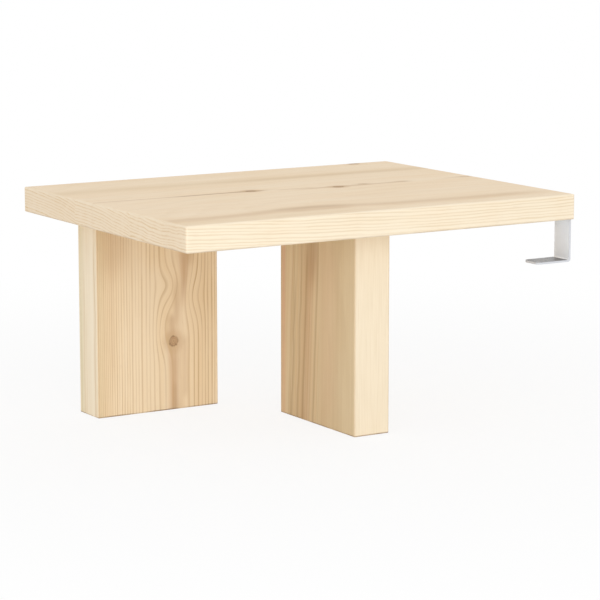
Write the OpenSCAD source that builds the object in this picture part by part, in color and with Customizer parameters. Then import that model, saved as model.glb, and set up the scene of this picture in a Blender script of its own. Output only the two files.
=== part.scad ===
// Low pine table that hooks onto the side rail of a bed.
// The origin is on the floor, under the middle of the top. X runs along the top towards the bed,
// Y runs from its front to its back, and Z is up.

/* [Top] */
// Length of the top, from its free end to the bed
top_w = 500; // [450:5:600]
// Depth of the top, from front to back
top_d = 385; // [350:5:420]
// Thickness of the top
top_t = 29; // [27:0.5:36]
// Width of the front stave
front_stave_w = 125; // [112:1:140]
// Width of the middle stave
middle_stave_w = 130; // [110:1:145]
// Rounding along all edges of the top
top_edge_r = 2.5; // [1:0.5:4]

/* [Legs] */
// Height of the legs
leg_h = 231; // [180:1:320]
// Width of each leg's plank
leg_w = 158; // [140:1:180]
// Thickness of each leg's plank
leg_t = 46; // [40:1:55]
// Rounding along the upright and lower edges of the legs
leg_edge_r = 2; // [1:0.5:4]
// From the top's free end to the left leg
left_leg_end_inset = 42; // [20:1:80]
// From the top's back edge to the left leg
left_leg_back_inset = 52; // [30:1:75]
// From the top's free end to the right leg
right_leg_end_inset = 239; // [210:1:280]
// From the top's front edge to the right leg
right_leg_front_inset = 52; // [40:1:70]
// Width of the right leg's front stave
right_leg_front_stave_w = 75; // [62:1:90]

/* [Leg fittings] */
// From a leg's hidden face to its line of bolts and dowels
fitting_line = 17; // [15:0.5:20]
// From each edge of a leg to its cam bolts
cam_edge = 39; // [34:1:46]
// From each edge of a leg to its dowels
dowel_edge = 17; // [12:1:22]
// Diameter of a cam nut
cam_d = 15; // [12:0.5:18]
// Depth of the hole for a cam nut
cam_depth = 22.5; // [22.5:0.5:26]
// From the top of a leg to the axis of its cam nuts
cam_drop = 34; // [24:1:45]
// Wall of a cam nut round its hollow
cam_wall = 2; // [1:0.25:2.5]
// Diameter of a cam bolt's thread
bolt_thread_d = 6; // [4:0.5:7]
// Length of a cam bolt's thread in the top
bolt_thread_l = 11; // [8:1:14]
// Diameter of a cam bolt's shaft
bolt_shaft_d = 7; // [7:0.5:8]
// Diameter of a cam bolt's neck
bolt_neck_d = 4.5; // [3:0.5:5]
// Diameter of a cam bolt's head
bolt_head_d = 7; // [6:0.5:7]
// Thickness of a cam bolt's head
bolt_head_h = 2.5; // [1.5:0.5:3]
// Diameter of a dowel
dowel_d = 8; // [6:1:10]
// Length of a dowel in the top
dowel_in_top = 14; // [10:1:18]
// Length of a dowel in the leg
dowel_in_leg = 26; // [20:1:35]

/* [Hook] */
// Width of the steel strip
strip_w = 27; // [20:0.5:40]
// Thickness of the steel strip
strip_t = 2.5; // [2:0.25:4]
// Inside radius of the strip's two bends
bend_r = 1; // [0.5:0.25:4]
// From the underside of the top down to the hook's foot
mouth_h = 46.5; // [30:0.5:70]
// Length of the hook's foot under the rail, with its bend
foot_l = 46; // [30:1:70]
// Length of the flange let into the top, with its bend
flange_l = 60; // [52:1:80]
// From the front edge of the top to the hook
hook_inset = 6.5; // [4.5:0.5:30]
// Rounding at the free corners of the strip
strip_corner_r = 6; // [1:0.5:9]
// Number of screws through the flange
screw_count = 3; // [2:1:3]
// From the hook's web to its first screw
screw_start = 16; // [12:1:18]
// Distance between screws
screw_pitch = 17; // [12:1:17]
// Diameter of a screw's shank
screw_d = 4; // [3:0.5:4.5]
// Diameter of a screw's head
screw_head_d = 7.5; // [6:0.5:8]
// Length of a screw, with its head
screw_l = 18; // [14:1:22]

/* [Clearances] */
// Gap round each dowel, bolt, cam nut and screw in its hole
hole_fit = 0.1; // [0.05:0.05:0.25]
// Gap round a cam bolt's shaft, neck and head
bolt_play = 0.5; // [0.3:0.1:0.7]
// Gap past the end of a dowel, bolt or screw
end_play = 0.5; // [0.3:0.1:0.9]
// How far a cam nut lies below the face of its leg
cam_sink = 0.3; // [0.1:0.1:0.8]
// Gap round the hook's flange in its recess
recess_fit = 0.3; // [0.1:0.1:0.8]

/* [Hidden] */
$fn = 64;

// Tools that cut a face start and end this far outside it
over = 1;
top_pine = [0.92, 0.84, 0.72];
leg_pine = [0.87, 0.76, 0.61];
beech = [0.80, 0.66, 0.48];
zinc = [0.74, 0.75, 0.76];
bright_steel = [0.80, 0.80, 0.78];
hook_steel = [0.81, 0.81, 0.80];

// Top
back_stave_w = top_d - front_stave_w - middle_stave_w;
front_y = -top_d / 2;
back_y = top_d / 2;
free_end_x = -top_w / 2;
bed_end_x = top_w / 2;

// Fittings
tip_share = 0.25;
dowel_hole_d = dowel_d + 2 * hole_fit;
cam_hole_d = cam_d + 2 * hole_fit;
cam_l = cam_depth - cam_sink;
cam_back = cam_depth - fitting_line;
cam_hollow_d = cam_d - 2 * cam_wall;
cam_hollow_h = bolt_head_d + 2 * bolt_play;
cam_slot_h = bolt_neck_d + 2 * bolt_play;
cam_cross = [cam_d * 0.55, cam_d * 0.11, 3];
bolt_hole_d = bolt_shaft_d + 2 * bolt_play;
shaft_l = cam_drop - cam_d / 2 - bolt_play;
head_seat = cam_drop - cam_hollow_d / 2 + hole_fit;

// Hook
hook_front_y = front_y + hook_inset;
foot_z = leg_h - mouth_h;
bend_out_r = bend_r + strip_t;
screw_x = [for (i = [0:screw_count - 1]) bed_end_x - screw_start - i * screw_pitch];
screw_y = hook_front_y + strip_w / 2;
screw_cone_h = (screw_head_d - screw_d) / 2;
screw_cross = [screw_head_d * 0.6, screw_head_d * 0.13, 1.2];

// Rectangle of w by d with corners of radius r, from the origin
module rounded_rectangle(w, d, r) {
    translate([r, 0]) square([w - 2 * r, d]);
    translate([0, r]) square([w, d - 2 * r]);
    for (x = [r, w - r], y = [r, d - r])
        translate([x, y]) circle(r = r);
}

// Rectangle of w by h whose two lower corners have the radius r
module low_rounded_rectangle(w, h, r) {
    translate([r, 0]) square([w - 2 * r, h]);
    translate([0, r]) square([w, h - r]);
    for (x = [r, w - r])
        translate([x, r]) circle(r = r);
}

// Board of size s with every edge rounded
module eased_board(s, r) {
    intersection() {
        linear_extrude(s.z) rounded_rectangle(s.x, s.y, r);
        rotate([90, 0, 90]) linear_extrude(s.x) rounded_rectangle(s.y, s.z, r);
        translate([0, s.y, 0])
            rotate([90, 0, 0]) linear_extrude(s.y) rounded_rectangle(s.x, s.z, r);
    }
}

// Plank of size s with its upright and lower edges rounded
module eased_plank(s, r) {
    intersection() {
        linear_extrude(s.z) rounded_rectangle(s.x, s.y, r);
        rotate([90, 0, 90]) linear_extrude(s.x) low_rounded_rectangle(s.y, s.z, r);
        translate([0, s.y, 0])
            rotate([90, 0, 0]) linear_extrude(s.y) low_rounded_rectangle(s.x, s.z, r);
    }
}

// A leg is drawn with its width along X and its hidden face at y = leg_t
module place_left() {
    translate([free_end_x + left_leg_end_inset, back_y - left_leg_back_inset - leg_t, 0])
        children();
}

module place_right() {
    translate([free_end_x + right_leg_end_inset, front_y + right_leg_front_inset + leg_w, 0])
        rotate(-90) children();
}

// Both places across a leg at this distance from its edges, at the top of its line of fittings
module at_fittings(edge) {
    for (x = [edge, leg_w - edge])
        translate([x, leg_t - fitting_line, leg_h]) children();
}

// Everything that is bored out of a leg
module leg_holes() {
    at_fittings(dowel_edge)
        translate([0, 0, -dowel_in_leg - end_play])
            cylinder(d = dowel_hole_d, h = dowel_in_leg + end_play + over);
    at_fittings(cam_edge) {
        translate([0, 0, -cam_drop]) cylinder(d = bolt_hole_d, h = cam_drop + over);
        translate([0, fitting_line + over, -cam_drop])
            rotate([90, 0, 0]) cylinder(d = cam_hole_d, h = cam_depth + over);
    }
}

// Everything that is bored up into the top over one leg
module top_holes() {
    at_fittings(dowel_edge)
        translate([0, 0, -over])
            cylinder(d = dowel_hole_d, h = over + dowel_in_top + end_play);
    at_fittings(cam_edge)
        translate([0, 0, -over])
            cylinder(d = bolt_thread_d + 2 * hole_fit, h = over + bolt_thread_l + end_play);
}

// Recess for the hook's flange and the holes for its screws
module hook_recess() {
    corner_r = strip_corner_r + recess_fit;
    length = flange_l + recess_fit + corner_r;
    translate([bed_end_x - flange_l - recess_fit, hook_front_y - recess_fit, leg_h - over])
        linear_extrude(strip_t + over)
            rounded_rectangle(length, strip_w + 2 * recess_fit, corner_r);
    for (x = screw_x)
        translate([x, screw_y, leg_h])
            cylinder(d = screw_d + 2 * hole_fit, h = screw_l + end_play);
}

// Slice of the top from y = from, w wide
module top_stave(from, w) {
    color(top_pine) difference() {
        intersection() {
            translate([free_end_x, front_y, leg_h])
                eased_board([top_w, top_d, top_t], top_edge_r);
            translate([free_end_x - over, from, leg_h - over])
                cube([top_w + 2 * over, w, top_t + 2 * over]);
        }
        place_left() top_holes();
        place_right() top_holes();
        hook_recess();
    }
}

module top_front_stave() {
    top_stave(front_y - over, front_stave_w + over);
}

module top_middle_stave() {
    top_stave(front_y + front_stave_w, middle_stave_w);
}

module top_back_stave() {
    top_stave(back_y - back_stave_w, back_stave_w + over);
}

module leg() {
    difference() {
        eased_plank([leg_w, leg_t, leg_h], leg_edge_r);
        leg_holes();
    }
}

// Slice of a leg from x = from, w wide
module leg_stave(from, w) {
    intersection() {
        leg();
        translate([from, -over, -over]) cube([w, leg_t + 2 * over, leg_h + 2 * over]);
    }
}

module left_leg() {
    color(leg_pine) place_left() leg();
}

module right_leg_back_stave() {
    color(leg_pine) place_right()
        leg_stave(-over, leg_w - right_leg_front_stave_w + over);
}

module right_leg_front_stave() {
    color(leg_pine) place_right()
        leg_stave(leg_w - right_leg_front_stave_w, right_leg_front_stave_w + over);
}

// Dowel with chamfered ends, half of it in the leg and half in the top
module dowel() {
    chamfer = dowel_d / 8;
    length = dowel_in_leg + dowel_in_top;
    translate([0, 0, -dowel_in_leg]) {
        cylinder(d1 = dowel_d - 2 * chamfer, d2 = dowel_d, h = chamfer);
        translate([0, 0, chamfer]) cylinder(d = dowel_d, h = length - 2 * chamfer);
        translate([0, 0, length - chamfer])
            cylinder(d1 = dowel_d, d2 = dowel_d - 2 * chamfer, h = chamfer);
    }
}

module leg_dowels() {
    color(beech) {
        place_left() at_fittings(dowel_edge) dowel();
        place_right() at_fittings(dowel_edge) dowel();
    }
}

// Bolt that stands on its shoulder under the top, with its head caught in the cam nut
module cam_bolt() {
    tip_h = bolt_thread_d / 2;
    cylinder(d = bolt_thread_d, h = bolt_thread_l - tip_h);
    translate([0, 0, bolt_thread_l - tip_h])
        cylinder(d1 = bolt_thread_d, d2 = bolt_thread_d * tip_share, h = tip_h);
    translate([0, 0, -shaft_l]) cylinder(d = bolt_shaft_d, h = shaft_l);
    translate([0, 0, -head_seat]) cylinder(d = bolt_neck_d, h = head_seat - shaft_l);
    translate([0, 0, -head_seat - bolt_head_h]) cylinder(d = bolt_head_d, h = bolt_head_h);
}

module cam_bolts() {
    color(bright_steel) {
        place_left() at_fittings(cam_edge) cam_bolt();
        place_right() at_fittings(cam_edge) cam_bolt();
    }
}

// Cam nut on its own axis, its face up: the bolt's head enters from the side and is locked
// behind the slotted half of the wall by a turn
module cam_nut() {
    difference() {
        cylinder(d = cam_d, h = cam_l);
        translate([0, 0, cam_back - cam_hollow_h / 2])
            cylinder(d = cam_hollow_d, h = cam_hollow_h);
        translate([-cam_d, -cam_d, cam_back - cam_slot_h / 2])
            cube([2 * cam_d, cam_d, cam_slot_h]);
        translate([0, 0, cam_back])
            rotate([0, 90, 0]) cylinder(d = cam_hollow_h, h = cam_d);
        for (turn = [0, 90])
            rotate(turn) translate([-cam_cross.x / 2, -cam_cross.y / 2, cam_l - cam_cross.z])
                cube([cam_cross.x, cam_cross.y, cam_cross.z + over]);
    }
}

module seated_cam_nut() {
    translate([0, fitting_line - cam_depth, -cam_drop])
        rotate([-90, 0, 0]) cam_nut();
}

module cam_nuts() {
    color(zinc) {
        place_left() at_fittings(cam_edge) seated_cam_nut();
        place_right() at_fittings(cam_edge) seated_cam_nut();
    }
}

// Quarter ring of the strip, turned by this angle about its bend
module bend(turn) {
    rotate(turn) intersection() {
        difference() {
            circle(r = bend_out_r);
            circle(r = bend_r);
        }
        square(bend_out_r);
    }
}

// Side view of the strip: flange, web and foot, joined by two bends
module strip_profile() {
    bend_x = bed_end_x - bend_out_r;
    translate([bed_end_x - flange_l, leg_h]) square([flange_l - bend_out_r, strip_t]);
    translate([bend_x, leg_h - bend_r]) bend(0);
    translate([bed_end_x - strip_t, foot_z + bend_r]) square([strip_t, mouth_h - 2 * bend_r]);
    translate([bend_x, foot_z + bend_r]) bend(-90);
    translate([bed_end_x - foot_l, foot_z - strip_t]) square([foot_l - bend_out_r, strip_t]);
}

// Wedge that rounds a free corner of the strip, whose end is at x = 0
module corner_cut(z, side) {
    translate([0, side > 0 ? strip_w : 0, z - over]) mirror([0, side > 0 ? 1 : 0, 0])
        difference() {
            translate([-over, -over, 0])
                cube([strip_corner_r + over, strip_corner_r + over, strip_t + 2 * over]);
            translate([strip_corner_r, strip_corner_r, -over])
                cylinder(r = strip_corner_r, h = strip_t + 4 * over);
        }
}

// Countersunk hole for a screw, its wide end down
module countersink() {
    translate([0, 0, -over]) cylinder(d = screw_d + 2 * hole_fit, h = strip_t + 2 * over);
    cylinder(d1 = screw_head_d + 2 * hole_fit, d2 = screw_d + 2 * hole_fit, h = screw_cone_h);
    translate([0, 0, -over]) cylinder(d = screw_head_d + 2 * hole_fit, h = over);
}

module rail_hook() {
    color(hook_steel) difference() {
        translate([0, hook_front_y + strip_w, 0])
            rotate([90, 0, 0]) linear_extrude(strip_w) strip_profile();
        for (side = [-1, 1]) {
            translate([bed_end_x - foot_l, hook_front_y, 0]) corner_cut(foot_z - strip_t, side);
            translate([bed_end_x - flange_l, hook_front_y, 0]) corner_cut(leg_h, side);
        }
        for (x = screw_x)
            translate([x, screw_y, leg_h]) countersink();
    }
}

// Countersunk wood screw, its head down and its point in the top
module hook_screw() {
    tip_h = screw_d;
    difference() {
        union() {
            cylinder(d1 = screw_head_d, d2 = screw_d, h = screw_cone_h);
            translate([0, 0, screw_cone_h])
                cylinder(d = screw_d, h = screw_l - screw_cone_h - tip_h);
            translate([0, 0, screw_l - tip_h])
                cylinder(d1 = screw_d, d2 = screw_d * tip_share, h = tip_h);
        }
        for (turn = [0, 90])
            rotate(turn) translate([-screw_cross.x / 2, -screw_cross.y / 2, -over])
                cube([screw_cross.x, screw_cross.y, screw_cross.z + over]);
    }
}

module hook_screws() {
    color(bright_steel)
        for (x = screw_x)
            translate([x, screw_y, leg_h]) hook_screw();
}

top_back_stave();
top_middle_stave();
top_front_stave();
left_leg();
right_leg_back_stave();
right_leg_front_stave();
leg_dowels();
cam_bolts();
cam_nuts();
rail_hook();
hook_screws();
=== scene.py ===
"""Looks of a low pine table that hooks onto a bed's side rail.

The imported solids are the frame, and this file dresses them. Each board is pine worked out from its own
pith, rings, knots and stains, and the fittings get their beech, zinc and steel.
The scene is in metres. Inside the materials, lengths are in millimetres.
"""

import logging
import math
from abc import ABC, abstractmethod
from dataclasses import dataclass
from enum import Enum
from functools import reduce
from types import SimpleNamespace
from typing import ClassVar, Optional, Sequence, Union

import bpy
import numpy as np
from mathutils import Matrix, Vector


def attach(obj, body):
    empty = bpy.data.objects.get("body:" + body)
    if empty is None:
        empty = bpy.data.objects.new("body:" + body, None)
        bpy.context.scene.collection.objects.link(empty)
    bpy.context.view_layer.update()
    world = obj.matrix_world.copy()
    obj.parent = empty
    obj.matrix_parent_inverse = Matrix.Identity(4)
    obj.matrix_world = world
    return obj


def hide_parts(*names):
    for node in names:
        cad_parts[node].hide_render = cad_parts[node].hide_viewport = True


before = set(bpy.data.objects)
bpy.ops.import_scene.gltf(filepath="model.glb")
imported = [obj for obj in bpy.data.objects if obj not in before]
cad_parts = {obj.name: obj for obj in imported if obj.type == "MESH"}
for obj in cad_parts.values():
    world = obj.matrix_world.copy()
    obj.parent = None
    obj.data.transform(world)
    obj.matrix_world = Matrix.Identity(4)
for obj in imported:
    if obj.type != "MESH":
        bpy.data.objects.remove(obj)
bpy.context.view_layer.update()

LOG = logging.getLogger("table")
MM_PER_M = 1000.0
SHARP_DEG = 38.0

Node = bpy.types.Node
Socket = bpy.types.NodeSocket
Value = Union[float, Sequence[float], Socket]
Colour = tuple[float, float, float, float]
Place = tuple[float, float, float]
Range = tuple[float, float]

WHITE: Colour = (1.0, 1.0, 1.0, 1.0)


def colour(red: float, green: float, blue: float) -> Colour:
    """Turns an sRGB colour into the linear one that a shader takes.

    Args:
        red: red from 0 to 255.
        green: green from 0 to 255.
        blue: blue from 0 to 255.

    Returns:
        The linear red, green and blue, and an alpha of 1.
    """

    def linear(level: float) -> float:
        """Linear level of one sRGB level."""
        share = level / 255.0
        return share / 12.92 if share <= 0.04045 else ((share + 0.055) / 1.055) ** 2.4

    return linear(red), linear(green), linear(blue), 1.0


class Lie(Enum):
    """How a piece lies: the row axis and sign of its length, width and thickness."""

    AS_BUILT = (("X", 1.0), ("Y", 1.0), ("Z", 1.0))
    TURNED = (("Z", 1.0), ("X", 1.0), ("Y", 1.0))
    FLAT = (("X", 1.0), ("Y", -1.0), ("Z", 1.0))
    UPRIGHT_ALONG_TOP = (("Z", -1.0), ("X", 1.0), ("Y", 1.0))
    UPRIGHT_ACROSS_TOP = (("Z", -1.0), ("Y", -1.0), ("X", 1.0))


class Sockets(SimpleNamespace):
    """Sockets by name."""

    def spot(self) -> tuple[Value, Value, Value]:
        """The places along, across and through a piece."""
        return self.along, self.across, self.depth


class Graph:
    """Adds nodes to one shader node tree and joins them."""

    PER_ROW: ClassVar[int] = 24
    SPACING: ClassVar[Range] = (190.0, -230.0)
    # Numbers of a Mix node's sockets for its share, its two colours and the colour it gives.
    MIX_INPUTS: ClassVar[tuple[int, ...]] = (0, 6, 7)
    MIX_RESULT: ClassVar[int] = 2

    def __init__(self, tree: bpy.types.NodeTree) -> None:
        """Starts in this tree."""
        self.tree = tree

    def add(self, kind: str, **given: object) -> Node:
        """Adds a node.

        Args:
            kind: the node's type.
            **given: its properties in small letters, and its inputs with a capital and _ for a space.

        Returns:
            The node.
        """
        node = self.tree.nodes.new(kind)
        row, column = divmod(len(self.tree.nodes), self.PER_ROW)
        node.location = (self.SPACING[0] * column, self.SPACING[1] * row)
        for name, value in given.items():
            if name[0].isupper():
                self.feed(node.inputs[name.replace("_", " ")], value)
            else:
                setattr(node, name, value)
        return node

    def feed(self, socket: Socket, value: Value) -> None:
        """Links a socket to an input, or writes a plain value on it.

        Args:
            socket: the input.
            value: an output socket, a number or a colour.
        """
        if isinstance(value, Socket):
            self.tree.links.new(value, socket)
        else:
            socket.default_value = value

    def math(self, operation: str, *values: Value) -> Socket:
        """Works out one sum.

        Args:
            operation: the Math node's operation.
            *values: its inputs, in order.

        Returns:
            The result.
        """
        node = self.add("ShaderNodeMath", operation=operation)
        for socket, value in zip(node.inputs, values):
            self.feed(socket, value)
        return node.outputs[0]

    def times(self, first: Value, *others: Value) -> Value:
        """Product of all the values."""
        return reduce(lambda one, two: self.math("MULTIPLY", one, two), others, first)

    def plus(self, first: Value, second: Value) -> Socket:
        """Sum of two values."""
        return self.math("ADD", first, second)

    def less(self, first: Value, second: Value) -> Socket:
        """First value less the second."""
        return self.math("SUBTRACT", first, second)

    def scaled(self, value: Value, scale: Value, start: Value) -> Socket:
        """Value times scale, plus start."""
        return self.math("MULTIPLY_ADD", value, scale, start)

    def length(self, one: Value, other: Value) -> Socket:
        """Root of the sum of two squares."""
        return self.math("SQRT", self.scaled(one, one, self.times(other, other)))

    def smooth(self, value: Value, low: Value, high: Value) -> Socket:
        """Goes from 0 where the value is low to 1 where it is high, along an S curve."""
        return self.add("ShaderNodeMapRange", interpolation_type="SMOOTHSTEP", Value=value,
                        From_Min=low, From_Max=high).outputs[0]

    def bell(self, offset: Value, reach: Value) -> Socket:
        """Bell curve: the exponential of minus the square of offset over reach."""
        ratio = self.math("DIVIDE", offset, reach)
        return self.math("EXPONENT", self.times(ratio, ratio, -1.0))

    def noise(self, place: Sequence[Value], pitch: Place, detail: float = 2.0) -> Socket:
        """Smooth noise round 0.5, with its own fineness along each of three directions.

        Args:
            place: three coordinates in millimetres.
            pitch: waves per millimetre along each.
            detail: number of finer octaves.

        Returns:
            The noise.
        """
        scaled = {axis: self.times(value, scale) for axis, value, scale in zip("XYZ", place, pitch)}
        joined = self.add("ShaderNodeCombineXYZ", **scaled)
        return self.add("ShaderNodeTexNoise", Vector=joined.outputs[0], Scale=1.0,
                        Detail=detail).outputs[0]

    def wave(self, place: Sequence[Value], pitch: Place, detail: float = 2.0) -> Socket:
        """The same noise round 0."""
        return self.less(self.noise(place, pitch, detail), 0.5)

    def mix(self, share: Value, first: Value, second: Value) -> Socket:
        """Mixes two colours.

        Args:
            share: how much of the second, from 0 to 1.
            first: the first colour.
            second: the second colour.

        Returns:
            The mixed colour.
        """
        node = self.add("ShaderNodeMix", data_type="RGBA", clamp_factor=True)
        for number, value in zip(self.MIX_INPUTS, (share, first, second)):
            self.feed(node.inputs[number], value)
        return node.outputs[self.MIX_RESULT]

    def places(self, lie: Lie, corner: Place = (0.0, 0.0, 0.0)) -> Sockets:
        """Places along, across and through a piece, in millimetres from its corner.

        Args:
            lie: how the piece lies.
            corner: the corner, in metres.

        Returns:
            The three places.
        """
        offset = self.add("ShaderNodeVectorMath", operation="SUBTRACT",
                          Vector=self.add("ShaderNodeTexCoord").outputs["Object"])
        self.feed(offset.inputs[1], corner)
        parts = self.add("ShaderNodeSeparateXYZ", Vector=offset.outputs[0]).outputs
        along, across, depth = (self.times(parts[axis], sign * MM_PER_M) for axis, sign in lie.value)
        return Sockets(along=along, across=across, depth=depth)

    def seen(self) -> Socket:
        """1 on rays from the camera, from gloss and through glass, and 0 on the rest.

        Returns:
            The share.
        """
        path = self.add("ShaderNodeLightPath").outputs
        first = self.math("MAXIMUM", path["Is Camera Ray"], path["Is Glossy Ray"])
        return self.math("MAXIMUM", first, path["Is Transmission Ray"])

    def principled(self, tint: Value, roughness: Value, height: Value, strength: float,
                   relief: float, **plain: float) -> Node:
        """Principled shader whose bump rises by relief metres. Plain inputs are the same all over."""
        bump = self.add("ShaderNodeBump", Strength=strength, Distance=relief, Height=height)
        return self.add("ShaderNodeBsdfPrincipled", Base_Color=tint, Roughness=roughness,
                        Normal=bump.outputs[0], **plain)

    def mixed(self, share: Value, first: Node, second: Node) -> Node:
        """Mixes two shaders.

        Args:
            share: how much of the second, from 0 to 1.
            first: the first shader.
            second: the second shader.

        Returns:
            The mixed shader.
        """
        node = self.add("ShaderNodeMixShader", Fac=share)
        for socket, shader in zip(node.inputs[1:], (first, second)):
            self.feed(socket, shader.outputs[0])
        return node


def blank(owner: Union[bpy.types.Material, bpy.types.World]) -> Graph:
    """Empties the node tree of a new material or world.

    Args:
        owner: the material or the world.

    Returns:
        Its graph.
    """
    owner.use_nodes = True
    owner.node_tree.nodes.clear()
    return Graph(owner.node_tree)


class Effect(ABC):
    """A shader node group that several materials share. It is built once, when it is first placed."""

    name: ClassVar[str]
    inputs: ClassVar[list[str]]
    outputs: ClassVar[list[str]]

    @abstractmethod
    def wire(self, graph: Graph, given: Sockets) -> Sockets:
        """Wires the group.

        Args:
            graph: the group's graph.
            given: its inputs.

        Returns:
            Its outputs.
        """

    def tree(self) -> bpy.types.NodeTree:
        """Finds the group, or builds it.

        Returns:
            The group's node tree.
        """
        found = bpy.data.node_groups.get(self.name)
        if found is not None:
            return found
        tree = bpy.data.node_groups.new(self.name, "ShaderNodeTree")
        for way, names in (("INPUT", self.inputs), ("OUTPUT", self.outputs)):
            for name in names:
                tree.interface.new_socket(name=name, in_out=way, socket_type="NodeSocketFloat")
        graph = Graph(tree)
        entry = graph.add("NodeGroupInput")
        leave = graph.add("NodeGroupOutput")
        made = self.wire(graph, Sockets(**{name: entry.outputs[name] for name in self.inputs}))
        for name in self.outputs:
            graph.feed(leave.inputs[name], getattr(made, name))
        return tree

    def place(self, graph: Graph, *parts: object, **more: Value) -> Sockets:
        """Places the group in a material.

        Args:
            graph: the material's graph.
            *parts: sockets or dataclasses, of which the fields named as an input are taken.
            **more: more inputs by name.

        Returns:
            Its outputs.
        """
        node = graph.add("ShaderNodeGroup", node_tree=self.tree())
        given = {name: value for fields in (*map(vars, parts), more)
                 for name, value in fields.items()}
        for name in self.inputs:
            graph.feed(node.inputs[name], given[name])
        return Sockets(**{name: node.outputs[name] for name in self.outputs})


class GrainSwell(Effect):
    """Bends the grain sideways round a place: across less a bell times push and spread."""

    name = "grain_swell"
    inputs = "along across centre_along centre_across reach_along reach_across push spread".split()
    outputs = ["across"]

    def wire(self, graph: Graph, given: Sockets) -> Sockets:
        """Takes bell times (push + spread times offset) from the place across the grain.

        Args:
            graph: the group's graph.
            given: its inputs.

        Returns:
            The bent place across.
        """
        far = graph.less(given.along, given.centre_along)
        side = graph.less(given.across, given.centre_across)
        weight = graph.times(graph.bell(far, given.reach_along), graph.bell(side, given.reach_across))
        moved = graph.times(weight, graph.scaled(side, given.spread, given.push))
        return Sockets(across=graph.less(given.across, moved))


class GrowthRings(Effect):
    """Growth rings round a pith, counted outwards, each with its dark late wood."""

    name = "growth_rings"
    inputs = ("along across depth pith_across pith_depth per_mm tightening late_share waver ripple "
              "ripple_pitch bow bow_along uneven start").split()
    outputs = ["late", "year"]
    # Waves per millimetre along, across and through the board, apart from the ripple's own pitch.
    DRIFT: ClassVar[Place] = (0.006, 0.022, 0.022)
    RIPPLE: ClassVar[Place] = (1.0, 0.075, 0.075)
    UNEVEN: ClassVar[Place] = (0.11, 1.0, 1.0)
    # Shares of a year at which the late wood is full, and between which it ends.
    LATE_FULL: ClassVar[float] = 0.93
    LATE_END: ClassVar[Range] = (1.0, 0.95)

    def wire(self, graph: Graph, given: Sockets) -> Sockets:
        """Counts rings: rings per mm times radius, plus tightening times its cube. Each ends dark.

        Args:
            graph: the group's graph.
            given: its inputs.

        Returns:
            The late wood's share, and a level for each year.
        """
        quick = graph.times(given.along, given.ripple_pitch)
        side = graph.less(given.across, given.pith_across)
        far = graph.less(given.along, given.bow_along)
        deep = graph.less(graph.less(given.depth, graph.times(far, far, given.bow)), given.pith_depth)
        radius = graph.scaled(graph.wave(given.spot(), self.DRIFT, 1.5), given.waver,
                              graph.length(side, deep))
        radius = graph.scaled(graph.wave((quick, given.across, given.depth), self.RIPPLE),
                              given.ripple, radius)
        count = graph.scaled(graph.math("POWER", radius, 3.0), given.tightening,
                             graph.times(radius, given.per_mm))
        uneven = graph.noise((radius, 0.0, 0.0), self.UNEVEN, 1.0)
        count = graph.plus(graph.scaled(uneven, given.uneven, count), given.start)
        growth = graph.math("FRACT", count)
        rise = graph.smooth(growth, graph.less(1.0, given.late_share), self.LATE_FULL)
        year = graph.add("ShaderNodeTexWhiteNoise", noise_dimensions="1D",
                         W=graph.math("FLOOR", count)).outputs["Value"]
        late = graph.times(rise, graph.smooth(growth, *self.LATE_END), graph.scaled(year, 0.5, 0.5))
        return Sockets(late=late, year=year)


class Fibre(Effect):
    """Fibres of sawn and sanded wood: hair lines, streaks, clouds, resin ducts and patches."""

    name = "wood_fibre"
    inputs = "along across depth seed".split()
    outputs = "hair streak cloud duct patch".split()
    # Millimetres along the grain from one seed to the next, and the levels of ducts and patches.
    SEED_STEP: ClassVar[float] = 211.0
    DUCT: ClassVar[Range] = (0.74, 0.80)
    PATCH: ClassVar[Range] = (0.34, 0.62)

    def wire(self, graph: Graph, given: Sockets) -> Sockets:
        """Noise drawn out along the grain at five finenesses. Ducts are the peaks of one of them.

        Args:
            graph: the group's graph.
            given: its inputs.

        Returns:
            A level for each kind of mark.
        """
        place = (graph.scaled(given.seed, self.SEED_STEP, given.along), given.across, given.depth)
        return Sockets(
            hair=graph.noise(place, (0.03, 2.8, 2.8)),
            streak=graph.noise(place, (0.004, 0.24, 0.24), 3.0),
            cloud=graph.noise(place, (0.007, 0.03, 0.03), 1.0),
            duct=graph.smooth(graph.noise(place, (0.09, 1.9, 1.9), 0.0), *self.DUCT),
            patch=graph.smooth(graph.noise(place, (0.014, 0.1, 0.1), 1.5), *self.PATCH),
        )


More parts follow.
